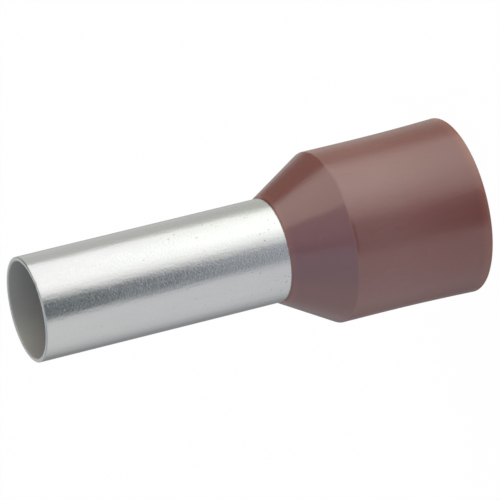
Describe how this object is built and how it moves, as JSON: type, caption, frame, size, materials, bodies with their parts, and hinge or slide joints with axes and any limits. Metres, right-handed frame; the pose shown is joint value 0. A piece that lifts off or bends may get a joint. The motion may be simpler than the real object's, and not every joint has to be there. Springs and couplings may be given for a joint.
{
  "type": "wire ferrule",
  "caption": "Insulated wire-end ferrule: a tinned copper sleeve, plain at its free end and belled inside a moulded collar whose cone and barrel take the wire's insulation.",
  "frame": {"origin": "middle of the collar's mouth, which the ferrule stands on", "axes": "+Z along the axis from the mouth to the sleeve's free end; X and Y are alike, because the part is round"},
  "size_m": [0.0084, 0.0084, 0.0215],
  "materials": {
    "tinned_copper": "matte tin plate on copper",
    "brown_polypropylene": "satin as moulded"
  },
  "bodies": {
    "root": {"tinned_sleeve": "tinned_copper", "insulating_collar": "brown_polypropylene"}
  },
  "joints": []
}
